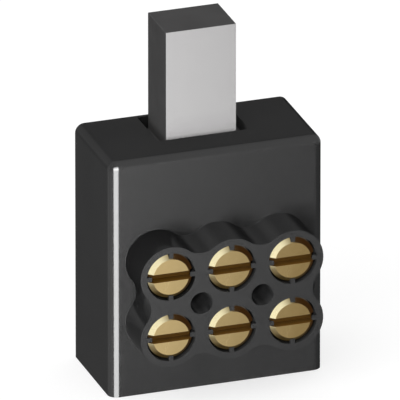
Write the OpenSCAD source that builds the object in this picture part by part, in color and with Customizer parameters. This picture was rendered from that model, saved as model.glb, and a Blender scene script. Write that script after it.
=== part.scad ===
// Single-pole distribution terminal block.
// A tang on top plugs into the clamp of a switching device. Conductors enter tunnels from below and
// are held by two slotted screws each. Front is -Y, up is +Z, and the base rim lies on Z = 0.

/* [Housing] */
// Width of the housing
housing_width = 34; // [33:0.5:40]
// Depth of the housing without the boss
housing_depth = 16.4; // [16:0.1:20]
// Height of the housing
housing_height = 38.5; // [36:0.5:46]
// Thickness of the front wall
front_wall = 2; // [1.9:0.1:2.4]
// Thickness of the two side walls
side_wall = 2; // [1.6:0.1:2.4]
// Thickness of the top wall
top_wall = 1.9; // [1.6:0.1:2.6]
// Thickness of the rear wall, which also closes the back of the tang slot
rear_wall = 0.6; // [0.4:0.1:0.8]
// Radius of the rounded front and top edges
edge_radius = 1.45; // [0.5:0.05:1.8]

/* [Boss] */
// Height of the boss above the front wall
boss_height = 7.15; // [7.05:0.05:9]
// Plastic around each screw bore
boss_wall = 1; // [0.8:0.1:1.4]
// Radius of the hollow between two neighbouring lobes
waist_radius = 3.4; // [1:0.1:5]
// Distance between screw columns
column_pitch = 9.7; // [9.4:0.1:10.2]
// Distance between screw rows
row_pitch = 9.95; // [9.6:0.05:11]
// Height of the lower screw row above the base rim
lower_row_height = 12.05; // [11:0.05:14]
// Diameter of the two blind holes that even out the walls of the boss
core_hole_diameter = 3.55; // [2:0.05:4]
// Plastic left behind the two blind holes
core_hole_floor = 1.2; // [0.8:0.1:2]

/* [Retaining ribs] */
// Width of a rib
rib_width = 0.7; // [0.5:0.1:1.2]
// Thickness of a rib at its tip, from where it widens along the chamfer of the screw head
rib_tip = 0.1; // [0.05:0.05:0.3]

/* [Clamp screws] */
// Diameter of the screw head
head_diameter = 7.1; // [6.8:0.1:7.4]
// Length of the screw head
head_length = 3.1; // [2.5:0.1:3.2]
// Chamfer on the front edge of the head
head_chamfer = 0.7; // [0.3:0.05:1]
// Width of the screwdriver slot
driver_slot_width = 1.35; // [0.8:0.05:1.6]
// Depth of the screwdriver slot
driver_slot_depth = 1.7; // [1:0.1:2.2]
// Outer diameter of the thread
thread_diameter = 6; // [5:0.5:6]
// Chamfer on the tip
tip_chamfer = 0.6; // [0.3:0.1:1]
// How far the face of a backed-off screw lies behind the face of the boss
screw_inset = 0; // [0:0.05:0.2]

/* [Contact block] */
// Height of the block's lower face above the base rim
block_recess = 4; // [2:0.5:5]
// Metal between the block's front face and the conductor tunnels, which carries the thread
thread_wall = 4.4; // [3.8:0.1:4.6]
// Diameter of a conductor tunnel
tunnel_diameter = 7.5; // [6.5:0.1:7.8]
// Reach of a tunnel above the upper screw row
tunnel_reach = 5.5; // [4:0.5:7]
// Point angle of the drilled end of a tunnel
drill_point_angle = 118; // [90:2:140]
// Chamfer at the mouth of a tunnel
tunnel_chamfer = 0.6; // [0.3:0.1:0.8]
// Chamfer on the upright edges of the block
block_chamfer = 0.5; // [0.2:0.1:1]
// Width of the tang
tang_width = 11.15; // [9:0.05:14]
// Thickness of the tang
tang_thickness = 8.4; // [6:0.1:8.6]
// Height of the tang above the housing
tang_rise = 17; // [12:0.5:24]

/* [Clearances] */
// Gap between the block and the housing walls
block_gap = 0.1; // [0.05:0.05:0.3]
// Gap between the tang and the sides of its slot
tang_side_gap = 1.7; // [0.5:0.1:2]
// Gap between the tang and the front of its slot
tang_front_gap = 1.15; // [0.5:0.05:2]
// Radial gap between a screw head and its bore
head_gap = 0.3; // [0.2:0.05:0.4]
// Gap between a screw head and its retaining ribs
rib_gap = 0.06; // [0.04:0.01:0.1]
// Radial gap between a thread and its hole
thread_gap = 0.05; // [0.02:0.01:0.1]
// Distance that a backed-off screw stays short of the tunnel
tip_gap = 0.1; // [0:0.05:0.3]

/* [Hidden] */
$fn = 64;
COLUMNS = 3;
ROWS = 2;
// Place of the first screw in the list of nodes
FIRST_SCREW = 2;
RIBS = 4;

// Overlap that lets a cut pass cleanly through a face
pass = 1;
// How far the arc of a hollow bites into the lobes, so that the two arcs cross instead of only touching
waist_bite = 0.01;
half_width = housing_width / 2;
// The outline of boss and housing together is centred on Y = 0
boss_face_y = -(housing_depth + boss_height) / 2;
front_y = boss_face_y + boss_height;
rear_y = front_y + housing_depth;

bore_radius = head_diameter / 2 + head_gap;
lobe_radius = bore_radius + boss_wall;
head_face_radius = head_diameter / 2 - head_chamfer;
thread_hole_radius = thread_diameter / 2 + thread_gap;
tunnel_radius = tunnel_diameter / 2;

cavity_half_width = half_width - side_wall;
cavity_front_y = front_y + front_wall;
cavity_rear_y = rear_y - rear_wall;
cavity_top_z = housing_height - top_wall;

block_half_width = cavity_half_width - block_gap;
block_front_y = cavity_front_y + block_gap;
block_rear_y = cavity_rear_y - block_gap;
block_top_z = cavity_top_z - block_gap;
tang_front_y = block_rear_y - tang_thickness;
tang_top_z = housing_height + tang_rise;
slot_half_width = tang_width / 2 + tang_side_gap;
slot_front_y = tang_front_y - tang_front_gap;
tunnel_y = block_front_y + thread_wall + tunnel_radius;
upper_row_height = lower_row_height + (ROWS - 1) * row_pitch;
tunnel_top_z = upper_row_height + tunnel_reach;

// A backed-off screw has its face at the face of the boss and its tip just short of the tunnel
head_face_y = boss_face_y + screw_inset;
screw_length = block_front_y + thread_wall - tip_gap - head_face_y;

column_x = [for (i = [0 : COLUMNS - 1]) (i - (COLUMNS - 1) / 2) * column_pitch];
row_z = [for (j = [0 : ROWS - 1]) lower_row_height + j * row_pitch];
// Upper row first, from left to right
SCREWS = [for (j = [ROWS - 1 : -1 : 0]) for (i = [0 : COLUMNS - 1]) [column_x[i], row_z[j]]];

// Places a drawing made in X and Z on the plane Y = y, with its extrusion running towards +Y
module facing_front(y) {
  translate([0, y, 0])
    rotate([90, 0, 0])
      mirror([0, 0, 1])
        children();
}

// What is cut from a square edge along Z to leave it round, for an edge at the origin and a solid in +X +Y
module edge_cutter(length) {
  difference() {
    translate([-pass, -pass, 0])
      cube([edge_radius + pass, edge_radius + pass, length]);
    translate([edge_radius, edge_radius, -pass])
      cylinder(r = edge_radius, h = length + 2 * pass);
  }
}

// What is cut from a square corner to leave it round, for a corner at the origin and a solid in +X +Y -Z
module corner_cutter() {
  difference() {
    translate([-pass, -pass, -edge_radius])
      cube([edge_radius + pass, edge_radius + pass, edge_radius + pass]);
    translate([edge_radius, edge_radius, -edge_radius])
      sphere(r = edge_radius);
  }
}

// Rounds one front upright edge, its top corner and the top edge that runs back from it
module side_rounding() {
  translate([-half_width, front_y, 0]) {
    translate([0, 0, -pass])
      edge_cutter(housing_height - edge_radius + pass);
    translate([0, 0, housing_height])
      corner_cutter();
    translate([0, housing_depth + pass, housing_height])
      rotate([90, 0, 0])
        mirror([0, 1, 0])
          edge_cutter(housing_depth + pass - edge_radius);
  }
}

module housing_shell() {
  difference() {
    translate([-half_width, front_y, 0])
      cube([housing_width, housing_depth, housing_height]);
    side_rounding();
    mirror([1, 0, 0])
      side_rounding();
    translate([-half_width + edge_radius, front_y, housing_height])
      rotate([0, 90, 0])
        edge_cutter(housing_width - 2 * edge_radius);
  }
}

// Fills the hollow between two lobes, the first at the origin and the second at distance pitch along +X
module waist_fillet(pitch) {
  rise = sqrt(pow(lobe_radius + waist_radius, 2) - pow(pitch / 2, 2));
  difference() {
    polygon([[0, 0], [pitch, 0], [pitch / 2, rise]]);
    translate([pitch / 2, rise])
      circle(r = waist_radius + waist_bite);
  }
}

module boss_outline() {
  span_x = (COLUMNS - 1) * column_pitch;
  span_z = (ROWS - 1) * row_pitch;
  translate([column_x[0], row_z[0]])
    square([span_x, span_z]);
  for (spot = SCREWS)
    translate(spot)
      circle(r = lobe_radius);
  for (i = [0 : COLUMNS - 2]) {
    translate([column_x[i], upper_row_height])
      waist_fillet(column_pitch);
    translate([column_x[i], lower_row_height])
      mirror([0, 1])
        waist_fillet(column_pitch);
  }
  for (j = [0 : ROWS - 2]) {
    translate([column_x[0], row_z[j]])
      rotate(90)
        waist_fillet(row_pitch);
    translate([column_x[COLUMNS - 1], row_z[j]])
      rotate(90)
        mirror([0, 1])
          waist_fillet(row_pitch);
  }
}

// Wedges at the mouth of a bore, which lie over the chamfer of a backed-off screw and hold it in
module retaining_ribs() {
  tip_radius = head_face_radius - screw_inset + rib_tip + rib_gap * sqrt(2);
  root_radius = bore_radius + boss_wall / 2;
  for (i = [0 : RIBS - 1])
    rotate(i * 360 / RIBS)
      translate([0, rib_width / 2, 0])
        rotate([90, 0, 0])
          linear_extrude(rib_width)
            polygon([[tip_radius, 0], [root_radius, 0], [root_radius, rib_tip + root_radius - tip_radius],
                     [tip_radius, rib_tip]]);
}

module housing() {
  color("#2f2f30") {
    difference() {
      union() {
        housing_shell();
        facing_front(boss_face_y)
          linear_extrude(boss_height + front_wall / 2)
            boss_outline();
      }
      translate([-cavity_half_width, cavity_front_y, -pass])
        cube([2 * cavity_half_width, cavity_rear_y - cavity_front_y, cavity_top_z + pass]);
      translate([-slot_half_width, slot_front_y, cavity_top_z - pass])
        cube([2 * slot_half_width, cavity_rear_y - slot_front_y, top_wall + 2 * pass]);
      facing_front(boss_face_y) {
        for (spot = SCREWS)
          translate([spot[0], spot[1], -pass])
            cylinder(r = bore_radius, h = boss_height + front_wall + 2 * pass);
        for (i = [0 : COLUMNS - 2])
          translate([column_x[i] + column_pitch / 2, lower_row_height + row_pitch / 2, -pass])
            cylinder(d = core_hole_diameter, h = boss_height + front_wall - core_hole_floor + pass);
      }
    }
    facing_front(boss_face_y)
      for (spot = SCREWS)
        translate(spot)
          retaining_ribs();
  }
}

// One blind tunnel with a drilled end and a chamfered mouth
module tunnel() {
  drill_tip = tunnel_radius / tan(drill_point_angle / 2);
  mouth_radius = tunnel_radius + tunnel_chamfer;
  length = tunnel_top_z - block_recess;
  translate([0, 0, -pass])
    cylinder(r = tunnel_radius, h = length + pass);
  translate([0, 0, length])
    cylinder(r1 = tunnel_radius, r2 = 0, h = drill_tip);
  translate([0, 0, -pass])
    cylinder(r1 = mouth_radius + pass, r2 = tunnel_radius, h = tunnel_chamfer + pass);
}

module block_outline() {
  c = block_chamfer;
  w = block_half_width;
  polygon([[-w + c, block_front_y], [w - c, block_front_y], [w, block_front_y + c], [w, block_rear_y - c],
           [w - c, block_rear_y], [-w + c, block_rear_y], [-w, block_rear_y - c], [-w, block_front_y + c]]);
}

module contact_block() {
  color("#c4c4c2")
    difference() {
      union() {
        translate([0, 0, block_recess])
          linear_extrude(block_top_z - block_recess)
            block_outline();
        translate([-tang_width / 2, tang_front_y, block_recess])
          cube([tang_width, tang_thickness, tang_top_z - block_recess]);
      }
      for (x = column_x)
        translate([x, tunnel_y, block_recess])
          tunnel();
      facing_front(block_front_y - pass)
        for (spot = SCREWS)
          translate(spot)
            cylinder(r = thread_hole_radius, h = thread_wall + tunnel_radius + pass);
    }
}

module clamp_screw(spot) {
  shank_radius = thread_diameter / 2;
  head_radius = head_diameter / 2;
  color("#c9a95c")
    facing_front(head_face_y)
      translate(spot)
        difference() {
          rotate_extrude()
            polygon([[0, 0], [head_face_radius, 0], [head_radius, head_chamfer], [head_radius, head_length],
                     [shank_radius, head_length], [shank_radius, screw_length - tip_chamfer],
                     [shank_radius - tip_chamfer, screw_length], [0, screw_length]]);
          translate([-head_radius - pass, -driver_slot_width / 2, -pass])
            cube([2 * (head_radius + pass), driver_slot_width, driver_slot_depth + pass]);
        }
}

housing();
contact_block();
for (i = [0 : len(SCREWS) - 1])
  clamp_screw(SCREWS[i]);
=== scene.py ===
"""Looks of the distribution terminal block.

Moulded plastic, tin-plated metal and threaded brass screws, in a small studio with the photograph's camera.
"""
import math

import bmesh
import bpy
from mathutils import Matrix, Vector


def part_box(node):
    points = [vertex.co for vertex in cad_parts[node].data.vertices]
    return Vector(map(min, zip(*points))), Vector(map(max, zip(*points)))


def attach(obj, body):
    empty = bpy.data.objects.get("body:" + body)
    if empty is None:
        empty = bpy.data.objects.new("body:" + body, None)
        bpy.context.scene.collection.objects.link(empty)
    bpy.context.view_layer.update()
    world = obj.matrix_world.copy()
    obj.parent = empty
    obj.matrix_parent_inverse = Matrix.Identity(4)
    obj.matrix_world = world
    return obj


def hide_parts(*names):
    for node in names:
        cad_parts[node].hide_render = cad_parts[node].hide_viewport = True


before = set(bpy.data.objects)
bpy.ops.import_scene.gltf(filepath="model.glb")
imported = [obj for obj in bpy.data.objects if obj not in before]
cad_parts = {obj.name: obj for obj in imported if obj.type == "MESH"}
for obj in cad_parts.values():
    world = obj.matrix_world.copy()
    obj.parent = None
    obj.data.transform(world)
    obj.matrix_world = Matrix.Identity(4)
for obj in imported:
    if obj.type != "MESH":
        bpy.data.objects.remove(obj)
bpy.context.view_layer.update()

MM = 0.001
WHITE = (1.0, 1.0, 1.0, 1.0)
SCREWS = ["upper_left", "upper_middle", "upper_right", "lower_left", "lower_middle", "lower_right"]

# Screw, in its own frame: the face is at Y = 0, the axis runs along +Y, lengths in mm
HEAD_RADIUS, FACE_RADIUS, HEAD_LENGTH = 3.55, 2.85, 3.10
CROWN, CROWN_RINGS = 0.01, (0.3, 0.9, 1.5, 2.1, 2.6, FACE_RADIUS)
SLOT_WIDTH, SLOT_DEPTH = 1.35, 1.70
CREST_RADIUS, ROOT_RADIUS, PITCH = 3.0, 2.5, 1.0
FLANK_SLOPE, ROOT_FLAT = 1.45, 0.22
NECK_END, TIP_CHAMFER, SHANK_OVERLAP = 3.7, 0.6, 0.2
TURN_STEPS, STEPS_PER_PITCH = 96, 12
SHARP_ANGLE = math.radians(32)

# Housing, where the strips and flags of the studio are set against it
BOSS_HEIGHT, EDGE_RADIUS, LOBE_RADIUS = 7.15 * MM, 1.45 * MM, 4.85 * MM
SLOT_HALF_WIDTH, REAR_WALL = 7.275 * MM, 0.60 * MM

# Directions: where the front faces mirror the photograph's view to, and straight back
FRONT, BACK = (0.30, -0.87, -0.40), (0.00, 1.00, 0.00)


def node(tree, kind, inputs=None, **settings):
    """Adds a node. An input given as a socket is linked, and any other value is set on the input."""
    made = tree.nodes.new(kind)
    for name, value in settings.items():
        setattr(made, name, value)
    for name, value in (inputs or {}).items():
        if isinstance(value, bpy.types.NodeSocket):
            tree.links.new(value, made.inputs[name])
        else:
            made.inputs[name].default_value = value
    return made


def new_tree(owner):
    """Empty node tree of a material or world."""
    owner.use_nodes = True
    owner.node_tree.nodes.clear()
    return owner.node_tree


def object_coords(tree):
    return node(tree, "ShaderNodeTexCoord").outputs["Object"]


def noise(tree, coords, scale, detail=2.0, roughness=0.5):
    inputs = {"Vector": coords, "Scale": scale, "Detail": detail, "Roughness": roughness}
    return node(tree, "ShaderNodeTexNoise", inputs).outputs["Fac"]


def stretched(tree, coords, scale):
    return node(tree, "ShaderNodeMapping", {"Vector": coords, "Scale": scale}).outputs["Vector"]


def spread(tree, value, low, high, start=0.3, end=0.7):
    """Maps a value from start..end to low..high, and holds it at either end."""
    inputs = {"Value": value, "From Min": start, "From Max": end, "To Min": low, "To Max": high}
    return node(tree, "ShaderNodeMapRange", inputs).outputs["Result"]


def math_node(tree, operation, a, b=0.0):
    return node(tree, "ShaderNodeMath", {0: a, 1: b}, operation=operation).outputs["Value"]


def vector_node(tree, operation, a, b=(0.0, 0.0, 0.0)):
    return node(tree, "ShaderNodeVectorMath", {0: a, 1: b}, operation=operation).outputs


def blend_colour(tree, factor, a, b):
    """Mixes two colours, each of them red, green and blue or another node's socket."""
    a, b = (value if isinstance(value, bpy.types.NodeSocket) else (*value, 1.0) for value in (a, b))
    return node(tree, "ShaderNodeMix", {"Factor": factor, 6: a, 7: b}, data_type="RGBA").outputs[2]


def soft_edges(tree, radius):
    """Rounded shading normals at sharp edges, and a mask that is 1 on those edges."""
    bent, flat = 0.80, 0.99
    rounded = node(tree, "ShaderNodeBevel", {"Radius": radius}, samples=6).outputs["Normal"]
    true = node(tree, "ShaderNodeNewGeometry").outputs["Normal"]
    facing = vector_node(tree, "DOT_PRODUCT", rounded, true)["Value"]
    return rounded, spread(tree, facing, 1.0, 0.0, bent, flat)


def open_sky(tree, reach):
    """1 where nothing stands within reach of the surface, and less in hollows."""
    return node(tree, "ShaderNodeAmbientOcclusion", {"Distance": reach}, samples=8).outputs["AO"]


def relief(tree, height, depth, strength, normal):
    """Normals of a fine relief on top of the given ones."""
    inputs = {"Height": height, "Distance": depth, "Strength": strength, "Normal": normal}
    return node(tree, "ShaderNodeBump", inputs).outputs["Normal"]


def show_surface(tree, shader):
    node(tree, "ShaderNodeOutputMaterial", {"Surface": shader})


def finish_material(tree, colour, roughness, normal, metallic, **more):
    inputs = {"Base Color": colour, "Roughness": roughness, "Normal": normal, "Metallic": metallic} | more
    show_surface(tree, node(tree, "ShaderNodeBsdfPrincipled", inputs).outputs["BSDF"])


def moulded_plastic():
    """Black moulded plastic: fine eroded grain, slow cloudiness, lighter edges, and painted shade that takes
    the gloss out of hollows.
    """
    dark, light, rubbed = (0.0125, 0.0125, 0.0127), (0.0155, 0.0155, 0.0157), (0.026, 0.026, 0.0264)
    edge_width, hollow_reach, grain_depth = 0.06 * MM, 4.0 * MM, 0.003 * MM
    material = bpy.data.materials.new("moulded_plastic")
    tree = new_tree(material)
    coords = object_coords(tree)
    rounded, edges = soft_edges(tree, edge_width)
    cloud = noise(tree, coords, scale=110.0, detail=3.0)
    grain = noise(tree, coords, scale=5200.0)
    shade = blend_colour(tree, spread(tree, cloud, 0.0, 1.0), dark, light)
    colour = blend_colour(tree, math_node(tree, "MULTIPLY", edges, 0.4), shade, rubbed)
    rough = math_node(tree, "ADD", spread(tree, cloud, 0.17, 0.21), spread(tree, grain, -0.02, 0.02))
    # Painted shade: ambient occlusion lowers the gloss in slots, holes and gaps and stands in for the shade
    # there.
    gloss = spread(tree, open_sky(tree, hollow_reach), 0.0, 0.5, 0.12, 0.50)
    normal = relief(tree, grain, grain_depth, 0.30, rounded)
    finish_material(tree, colour, rough, normal, 0.0, IOR=1.55, **{"Specular IOR Level": gloss})
    return material


def tin_plate():
    """Satin tin plate: drawn streaks along the tang, a faint cloudy bloom, polished edges, and painted shade
    in the bores and hollows.
    """
    grey, bloomed = (0.640, 0.630, 0.632), (0.665, 0.656, 0.657)
    # dull is the colour of the painted shade in the bores and hollows
    polished, dull = (0.76, 0.755, 0.75), (0.10, 0.095, 0.09)
    edge_width, hollow_reach, streak_depth = 0.05 * MM, 20.0 * MM, 0.001 * MM
    material = bpy.data.materials.new("tin_plate")
    tree = new_tree(material)
    coords = object_coords(tree)
    rounded, edges = soft_edges(tree, edge_width)
    streaks = noise(tree, stretched(tree, coords, (4200.0, 4200.0, 70.0)), scale=1.0, detail=4.0)
    bloom = noise(tree, coords, scale=260.0, detail=4.0, roughness=0.6)
    shade = blend_colour(tree, spread(tree, bloom, 0.0, 1.0), grey, bloomed)
    bright = blend_colour(tree, math_node(tree, "MULTIPLY", edges, 0.6), shade, polished)
    # Painted shade: ambient occlusion turns the colour to dull in the bores, the slot and other hollows.
    painted_shade_factor = spread(tree, open_sky(tree, hollow_reach), 0.0, 1.0, 0.10, 0.60)
    colour = blend_colour(tree, painted_shade_factor, dull, bright)
    rough = math_node(tree, "ADD", spread(tree, bloom, 0.20, 0.25), spread(tree, streaks, -0.02, 0.02))
    normal = relief(tree, streaks, streak_depth, 0.10, rounded)
    finish_material(tree, colour, rough, normal, 1.0)
    return material


def turned_brass(name, dull, bright, edge, smooth, metallic, shine):
    """Turned brass: fine rings round the screw's own axis, tarnish in patches, lighter edges."""
    edge_width, ring_depth = 0.04 * MM, 0.001 * MM
    material = bpy.data.materials.new(name)
    tree = new_tree(material)
    coords = object_coords(tree)
    rounded, edges = soft_edges(tree, edge_width)
    inputs = {"Vector": coords, "Scale": 2100.0, "Distortion": 0.6, "Detail": 2.0, "Detail Scale": 2.0}
    rings = node(tree, "ShaderNodeTexWave", inputs, wave_type="RINGS", rings_direction="Y").outputs["Fac"]
    tarnish = noise(tree, coords, scale=420.0, detail=4.0, roughness=0.6)
    shade = blend_colour(tree, spread(tree, tarnish, 0.0, 1.0), dull, bright)
    colour = blend_colour(tree, math_node(tree, "MULTIPLY", edges, 0.5), shade, edge)
    patchy = spread(tree, tarnish, smooth, smooth + 0.05)
    rough = math_node(tree, "ADD", patchy, spread(tree, rings, -0.03, 0.03, 0.0, 1.0))
    normal = relief(tree, rings, ring_depth, 0.20, rounded)
    finish_material(tree, colour, rough, normal, metallic, **{"Specular IOR Level": shine})
    return material


def ring(bm, y, radius_at):
    """One turn of points round the Y axis, with a radius for each angle."""
    verts = []
    for i in range(TURN_STEPS):
        angle = 2 * math.pi * i / TURN_STEPS
        radius = radius_at(angle)
        verts.append(bm.verts.new((radius * math.cos(angle) * MM, y * MM, radius * math.sin(angle) * MM)))
    return verts


def skin(bm, rings):
    """Joins rings into a closed tube with flat ends."""
    for a, b in zip(rings, rings[1:]):
        for i in range(TURN_STEPS):
            j = (i + 1) % TURN_STEPS
            bm.faces.new((a[i], b[i], b[j], a[j]))
    bm.faces.new(rings[0])
    bm.faces.new(rings[-1][::-1])
    bmesh.ops.recalc_face_normals(bm, faces=bm.faces[:])


def mesh_of(bm, name):
    mesh = bpy.data.meshes.new(name)
    bm.to_mesh(mesh)
    bm.free()
    return mesh


def object_of(data, name):
    """Object of a mesh, lamp or camera, linked to the scene."""
    made = bpy.data.objects.new(name, data)
    bpy.context.scene.collection.objects.link(made)
    return made


def screw_head():
    """Crowned, chamfered head with a slot across it."""
    profile = [(CROWN * (r / FACE_RADIUS) ** 2, r) for r in CROWN_RINGS]
    profile += [(HEAD_RADIUS - FACE_RADIUS, HEAD_RADIUS), (HEAD_LENGTH, HEAD_RADIUS)]
    bm = bmesh.new()
    skin(bm, [ring(bm, y, lambda angle, r=r: r) for y, r in profile])
    head = object_of(mesh_of(bm, "screw_head"), "screw_head")
    bm = bmesh.new()
    bmesh.ops.create_cube(bm, size=1.0)
    for v in bm.verts:
        v.co.x *= 3 * HEAD_RADIUS * MM
        v.co.y *= 2 * SLOT_DEPTH * MM
        v.co.z *= SLOT_WIDTH * MM
    cutter = object_of(mesh_of(bm, "slot_cutter"), "slot_cutter")
    cut = head.modifiers.new("slot", "BOOLEAN")
    cut.object, cut.operation, cut.solver = cutter, "DIFFERENCE", "EXACT"
    done = bpy.data.meshes.new_from_object(head.evaluated_get(bpy.context.evaluated_depsgraph_get()))
    bpy.data.objects.remove(head)
    bpy.data.objects.remove(cutter)
    return done


def thread_radius(y, angle, length):
    """Radius of a right-hand V thread with flats on crest and root, from the neck to the chamfered tip."""
    turn = (y / PITCH + angle / (2 * math.pi)) % 1.0
    height = min(max((0.5 - abs(turn - 0.5)) * 2 * FLANK_SLOPE - ROOT_FLAT, 0.0), 1.0)
    fade = min(max((y - NECK_END) / PITCH, 0.0), 1.0)
    radius = ROOT_RADIUS + (CREST_RADIUS - ROOT_RADIUS) * height * fade
    return min(radius, CREST_RADIUS - TIP_CHAMFER + max(length - y, 0.0))


def mark_slot(mesh):
    """Gives the walls and the floor of the driver slot the second material, which paints their shade."""
    slack, below_face = 1.001, 0.1 * MM
    half, depth = slack * SLOT_WIDTH / 2 * MM, slack * SLOT_DEPTH * MM
    for face in mesh.polygons:
        corners = [mesh.vertices[i].co for i in face.vertices]
        inside = all(abs(corner.z) < half and corner.y < depth for corner in corners)
        face.material_index = int(inside and face.center.y > below_face and abs(face.normal.x) < 0.5)


def screw_mesh(length):
    """Head and threaded shank of a screw, in one mesh."""
    bm = bmesh.new()
    bm.from_mesh(screw_head())
    shank = bmesh.new()
    steps = round((length - HEAD_LENGTH) / PITCH * STEPS_PER_PITCH)
    heights = [HEAD_LENGTH - SHANK_OVERLAP]
    heights += [HEAD_LENGTH + (length - HEAD_LENGTH) * i / steps for i in range(steps + 1)]
    skin(shank, [ring(shank, y, lambda angle, y=y: thread_radius(y, angle, length)) for y in heights])
    bm.from_mesh(mesh_of(shank, "shank"))
    mesh = mesh_of(bm, "threaded_screw")
    mesh.shade_smooth()
    mesh.set_sharp_from_angle(angle=SHARP_ANGLE)
    mark_slot(mesh)
    return mesh


def dress_nodes():
    """Materials of the housing and the contact block, which show as they are in the CAD model."""
    for name, material in (("housing", moulded_plastic()), ("contact_block", tin_plate())):
        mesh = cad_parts[name].data
        mesh.materials.clear()
        mesh.materials.append(material)
        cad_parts[name].visible_glossy = False


def threaded_screws():
    """Six screws of one mesh, which replace the plain ones of the CAD model."""
    low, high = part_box("upper_left_screw")
    threaded = screw_mesh((high.y - low.y) / MM)
    threaded.materials.append(turned_brass(
        "turned_brass", dull=(0.390, 0.290, 0.133), bright=(0.430, 0.322, 0.152), edge=(0.60, 0.48, 0.27),
        smooth=0.20, metallic=1.0, shine=0.5))
    # The second material paints the shade of the deep driver slot as a dull dark brown.
    threaded.materials.append(turned_brass(
        "slot_painted_shade", dull=(0.150, 0.068, 0.0058), bright=(0.182, 0.084, 0.0084), edge=(0.18, 0.09, 0.02),
        smooth=0.50, metallic=0.0, shine=0.1))
    for name in SCREWS:
        low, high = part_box(name + "_screw")
        piece = object_of(threaded, name + "_threaded")
        piece.location = ((low.x + high.x) / 2, low.y, (low.z + high.z) / 2)
        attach(piece, name + "_screw")
        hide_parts(name + "_screw")
        piece.visible_glossy = False


def sheet(name, corners):
    """A flat sheet of the studio."""
    mesh = bpy.data.meshes.new(name)
    mesh.from_pydata(corners, [], [(0, 1, 2, 3)])
    made = object_of(mesh, name)
    return made


def seen_rays(tree):
    """1 for rays that show the background: from the camera, off gloss or through glass."""
    path = node(tree, "ShaderNodeLightPath")
    direct = math_node(tree, "MAXIMUM", path.outputs["Is Camera Ray"], path.outputs["Is Transmission Ray"])
    return math_node(tree, "MAXIMUM", direct, path.outputs["Is Glossy Ray"])


def emission(tree, strength, colour=WHITE):
    return node(tree, "ShaderNodeEmission", {"Color": colour, "Strength": strength}).outputs["Emission"]


def background(tree, strength):
    return node(tree, "ShaderNodeBackground", {"Color": WHITE, "Strength": strength}).outputs["Background"]


def transparent(tree):
    return node(tree, "ShaderNodeBsdfTransparent").outputs["BSDF"]


def mix_shaders(tree, factor, a, b):
    return node(tree, "ShaderNodeMixShader", {0: factor, 1: a, 2: b}).outputs["Shader"]


def add_shaders(tree, a, b):
    return node(tree, "ShaderNodeAddShader", {0: a, 1: b}).outputs["Shader"]


def front_only(tree, shader):
    """Shows the shader on the front of a sheet. The back is clear."""
    back = node(tree, "ShaderNodeNewGeometry").outputs["Backfacing"]
    return mix_shaders(tree, back, shader, transparent(tree))


def pale_floor():
    """White floor that keeps the shadow. It is clear from below, so that the underside can be looked at."""
    half, drop, grey, cover, glow = 0.6, -0.02 * MM, 0.85, 0.5, 0.68
    corners = [(-half, -half, drop), (half, -half, drop), (half, half, drop), (-half, half, drop)]
    floor = sheet("floor", corners)
    material = bpy.data.materials.new("pale_floor")
    tree = new_tree(material)
    seen = seen_rays(tree)
    paint = node(tree, "ShaderNodeBsdfDiffuse", {"Color": (grey, grey, grey, 1.0)}).outputs["BSDF"]
    thinned = node(tree, "ShaderNodeMixShader", {0: math_node(tree, "MULTIPLY", seen, cover), 1: paint})
    white = emission(tree, math_node(tree, "MULTIPLY", seen, glow))
    show_surface(tree, front_only(tree, add_shaders(tree, thinned.outputs["Shader"], white)))
    floor.data.materials.append(material)
    floor.visible_glossy = floor.visible_diffuse = floor.visible_shadow = False


def studio_world():
    """White behind the object and an even fill light."""
    fill, backdrop = 0.75, 1.0
    world = bpy.data.worlds.new("studio")
    bpy.context.scene.world = world
    tree = new_tree(world)
    both = mix_shaders(tree, seen_rays(tree), background(tree, fill), background(tree, backdrop))
    node(tree, "ShaderNodeOutputWorld", {"Surface": both})


def key_light():
    """Soft light from the upper left. Its reflection is left to the tents."""
    place, target = Vector((-0.25, -0.20, 0.23)), Vector((0.0, -0.005, 0.02))
    lamp = bpy.data.lights.new("key", "AREA")
    lamp.shape, lamp.size, lamp.energy = "SQUARE", 0.30, 0.55
    key = object_of(lamp, "key")
    key.location = place
    key.rotation_mode = "QUATERNION"
    key.rotation_quaternion = (target - place).to_track_quat("-Z", "Y")
    key.visible_glossy = False


def shine_on(thing, receivers):
    """Makes a thing of the studio show in the gloss of its receivers, and nowhere else."""
    thing.visible_camera = thing.visible_diffuse = thing.visible_transmission = thing.visible_shadow = False
    lit = bpy.data.collections.new(thing.name + "_receivers")
    for receiver in receivers:
        lit.objects.link(receiver)
    thing.light_linking.receiver_collection = lit


def patch(tree, direction, towards, inner, outer):
    """1 round a direction, fading out between two angles from it."""
    cosine = vector_node(tree, "DOT_PRODUCT", direction, Vector(towards).normalized())["Value"]
    near, far = math.cos(math.radians(inner)), math.cos(math.radians(outer))
    inputs = {"Value": cosine, "From Min": far, "From Max": near}
    return node(tree, "ShaderNodeMapRange", inputs, interpolation_type="SMOOTHSTEP").outputs["Result"]


def tent(name, receivers, radius, level, patches, opaque=False):
    """A dome of one brightness with light and dark patches, where a later patch covers an earlier one.

    Each patch is a direction, the two angles of its fade in degrees, and its brightness or colour.
    """
    bm = bmesh.new()
    bmesh.ops.create_icosphere(bm, subdivisions=4, radius=radius)
    dome = object_of(mesh_of(bm, name), name)
    shine_on(dome, receivers)
    material = bpy.data.materials.new(name)
    tree = new_tree(material)
    direction = vector_node(tree, "NORMALIZE", object_coords(tree))["Vector"]
    colour = (level, level, level)
    for towards, inner, outer, light in patches:
        light = light if isinstance(light, tuple) else (light, light, light)
        colour = blend_colour(tree, patch(tree, direction, towards, inner, outer), colour, light)
    glow = emission(tree, 1.0, colour)
    show_surface(tree, glow if opaque else add_shaders(tree, glow, transparent(tree)))
    dome.data.materials.append(material)


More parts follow.
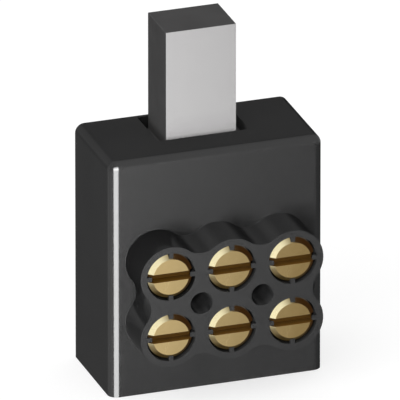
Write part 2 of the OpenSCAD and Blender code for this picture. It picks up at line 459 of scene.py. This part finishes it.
def card(name, x, y, z, receivers):
    """An upright sheet that faces +Y where x runs upwards, and -Y where it runs downwards."""
    made = sheet(name, [(x[0], y, z[0]), (x[0], y, z[1]), (x[1], y, z[1]), (x[1], y, z[0])])
    shine_on(made, receivers)
    material = bpy.data.materials.new(name)
    made.data.materials.append(material)
    return new_tree(material)


def see_through_card(tree, strength, colour=WHITE):
    """Adds the card's light to what lies behind it."""
    glow = add_shaders(tree, emission(tree, strength, colour), transparent(tree))
    show_surface(tree, front_only(tree, glow))


def flag_card(tree, brightness):
    """Hides what lies behind the card."""
    show_surface(tree, front_only(tree, emission(tree, brightness)))


def warming(tree, start, end, warm):
    """White on the left of a card, turning warm between two places across it."""
    across = node(tree, "ShaderNodeSeparateXYZ", {0: object_coords(tree)}).outputs["X"]
    return blend_colour(tree, spread(tree, across, 0.0, 1.0, start, end), WHITE[:3], warm)


def fading(tree, at, brightness, fall, most, foot, head):
    """A brightness that is set at one place across a card and falls off towards +X.

    It is never over the most. It rises from the foot to just below the object, and fades up to the head.
    """
    gain, rise_end, drop_start = 1.1, -3 * MM, 12 * MM
    across, _, up = node(tree, "ShaderNodeSeparateXYZ", {0: object_coords(tree)}).outputs
    steps = math_node(tree, "MULTIPLY", math_node(tree, "SUBTRACT", across, at), -fall)
    sideways = math_node(tree, "MULTIPLY", math_node(tree, "EXPONENT", steps), brightness)
    rising = spread(tree, up, 0.0, gain, foot, rise_end)
    upwards = math_node(tree, "MULTIPLY", rising, spread(tree, up, 1.0, 0.0, drop_start, head))
    return math_node(tree, "MULTIPLY", math_node(tree, "MINIMUM", sideways, most), upwards)


def studio_tents(screws, housing, block):
    """The studio as each material mirrors it: light in front, darker behind, a softbox at the upper left."""
    umber, deep_umber, bronze = (0.085, 0.045, 0.022), (0.055, 0.036, 0.022), (0.09, 0.073, 0.038)
    cool_white = (2.19, 2.64, 3.54)
    tent("screw_tent", screws, radius=1.2, level=0.60, patches=(
        (FRONT, 25, 65, 0.10),
        (BACK, 50, 75, 0.10),
        ((0.56, 0.49, -0.66), 15, 30, deep_umber),
        ((-0.58, -0.10, -0.81), 10, 30, 0.41),
        ((0.10, 0.28, -0.96), 14, 40, bronze),
        ((-0.80, -0.47, 0.36), 10, 77, cool_white),
        ((0.85, -0.20, 0.50), 32, 42, umber),
        ((0.95, 0.15, -0.15), 25, 40, umber)))
    tent("plastic_tent", housing, radius=1.3, level=0.60, patches=(
        (FRONT, 25, 65, 0.50),
        ((0.30, -0.60, 0.74), 25, 60, 0.82),
        (BACK, 34, 52, 0.11),
        ((0.00, 0.99, -0.15), 6, 16, 0.55),
        ((0.30, 0.87, 0.40), 15, 38, 0.13),
        ((-0.40, 0.87, 0.30), 10, 28, 0.25),
        ((0.78, 0.47, -0.41), 6, 13, 0.08),
        ((0.85, 0.33, -0.41), 8, 20, 0.05),
        ((0.90, -0.05, -0.43), 8, 20, 0.12),
        ((0.80, -0.42, -0.42), 6, 20, 0.25),
        ((0.43, 0.88, -0.18), 15, 29, 0.01),
        ((-0.57, 0.71, -0.41), 5, 13, 0.22),
        ((-0.89, 0.18, -0.41), 8, 20, 0.70),
        ((-0.87, -0.30, -0.40), 8, 20, 1.00)))
    tent("metal_tent", block, radius=1.4, level=0.55, opaque=True, patches=(
        (FRONT, 25, 65, 0.50),
        (BACK, 40, 75, 0.30),
        ((-0.30, 0.87, -0.40), 12, 24, 0.06),
        ((0.30, 0.87, 0.40), 12, 24, 0.08),
        ((-0.75, -0.45, 0.50), 20, 45, 1.00)))


def front_cards(screws, housing, block):
    """Soft light before the object, falling off to the right. For the screws it turns amber there."""
    sides, bottom = (-0.13, 0.11), -0.09
    warm_start, warm_end, amber = 0.0285, 0.0385, (0.9625, 0.8125, 0.5625)
    for name, y, receivers, at, brightness, fall, most, foot, head in (
            ("screw_card", -0.090, screws, 0.0171, 1.08, 38.5, 1.30, -0.300, 0.070),
            ("plastic_card", -0.091, housing, 0.0153, 0.86, 44.0, 0.90, -0.060, 0.115),
            ("metal_card", -0.092, block, 0.0268, 0.390, 46.0, 0.42, -0.300, 0.070)):
        tree = card(name, sides, y, (bottom, head), receivers)
        strength = fading(tree, at, brightness, fall, most, foot, head)
        colour = warming(tree, warm_start, warm_end, amber) if receivers is screws else WHITE
        see_through_card(tree, strength, colour)


def edge_strips(housing, low, high, front_wall):
    """A narrow lamp along the front left edge, and a small one closer by for its upper end."""
    azimuth, top = math.radians(22), high.z - 0.2 * MM
    for name, distance, half_width, foot, brightness in (
            ("edge_strip", 2.75 * MM, 1.08 * MM, -1.0 * MM, 12.4),
            ("strip_end", 1.80 * MM, 0.75 * MM, top - 0.9 * MM, 9.0)):
        x = low.x + EDGE_RADIUS - distance * math.sin(azimuth)
        y = front_wall + EDGE_RADIUS - distance * math.cos(azimuth)
        tree = card(name, (x - half_width, x + half_width), y, (foot, top), housing)
        see_through_card(tree, brightness)


def screw_middle(name):
    low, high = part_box(name + "_screw")
    return (low + high) / 2


def wall_flags(housing, low, front_wall):
    """Dark flags just before the front wall, which the left lobes of the boss mirror: painted shade on the
    flanks of those lobes.
    """
    gap, left_end = 0.02 * MM, low.x - 2 * MM
    upper, lower = screw_middle("upper_left"), screw_middle("lower_left")
    waist = (upper.z + lower.z) / 2 - 0.525 * MM
    for name, right_end, z, brightness in (
            ("upper_flag", upper.x + 3.2 * MM, (waist, upper.z + 8.0 * MM), 0.012),
            ("waist_flag", upper.x - 2.3 * MM, (waist - 1.3 * MM, waist), 0.04),
            ("lower_flag", lower.x - 1.8 * MM, (lower.z - 8.05 * MM, lower.z + 0.45 * MM), 0.07)):
        flag_card(card(name, (right_end, left_end), front_wall - gap, z, housing), brightness)


def slot_flag(housing, high):
    """A black flag just before the rear wall of the slot round the tang, whose reflection paints shade on
    that wall.
    """
    gap, reach = 0.05 * MM, 4 * MM
    x, z = (-SLOT_HALF_WIDTH, SLOT_HALF_WIDTH), (high.z - reach, high.z)
    flag_card(card("slot_flag", x, high.y - REAR_WALL - gap, z, housing), 0.0)


def boss_shade(housing, low, high, front_wall):
    """A soft dark flag between the boss and the front wall, whose reflection paints a soft shadow of the
    lobes on the wall.
    """
    gap, shift = 3.0 * MM, Vector((4.0, 0.0, -0.4)) * MM
    deepest_painted_shadow, fade_start, fade_end = 0.68, 3.0 * MM, 5.8 * MM
    y = front_wall - gap
    tree = card("boss_shade", (low.x, high.x + LOBE_RADIUS), y, (0.0, high.z), housing)
    place = object_coords(tree)
    # dark is the painted shadow: strongest near each lobe's shifted middle, and gone beyond the fade.
    dark = 0.0
    for name in SCREWS:
        middle = screw_middle(name) + shift
        middle.y = y
        away = vector_node(tree, "DISTANCE", place, middle)["Value"]
        dark = math_node(tree, "MAXIMUM", dark, spread(tree, away, deepest_painted_shadow, 0.0, fade_start, fade_end))
    flag = mix_shaders(tree, dark, transparent(tree), emission(tree, 0.0))
    show_surface(tree, front_only(tree, flag))


def studio_reflections():
    """Tents, cards, strips and flags, each of which shows in the gloss of one material alone."""
    screws = [bpy.data.objects[name + "_threaded"] for name in SCREWS]
    housing, block = [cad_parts["housing"]], [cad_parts["contact_block"]]
    studio_tents(screws, housing, block)
    front_cards(screws, housing, block)
    low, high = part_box("housing")
    front_wall = low.y + BOSS_HEIGHT
    edge_strips(housing, low, high, front_wall)
    wall_flags(housing, low, front_wall)
    slot_flag(housing, high)
    boss_shade(housing, low, high, front_wall)


def photo_camera():
    """The photograph has next to no vanishing points, so a long lens looks from far away."""
    azimuth, elevation, lens = math.radians(-18.965), math.radians(23.510), 1600.0
    photo_width, pixels_per_mm = 400, 6.606
    middle = Vector((1.243, 6.763, 25.478)) * MM
    level = math.cos(elevation)
    back = Vector((math.sin(azimuth) * level, -math.cos(azimuth) * level, math.sin(elevation)))
    data = bpy.data.cameras.new("camera")
    data.lens, data.sensor_width = lens, 36.0
    distance = photo_width / pixels_per_mm * MM * lens / data.sensor_width
    data.clip_end = 2 * distance
    camera = object_of(data, "camera")
    camera.rotation_mode = "QUATERNION"
    camera.rotation_quaternion = (-back).to_track_quat("-Z", "Y")
    camera.location = middle + back * distance
    bpy.context.scene.camera = camera


dress_nodes()
threaded_screws()
pale_floor()
studio_world()
key_light()
studio_reflections()
photo_camera()
bpy.context.scene.view_settings.view_transform = "Standard"
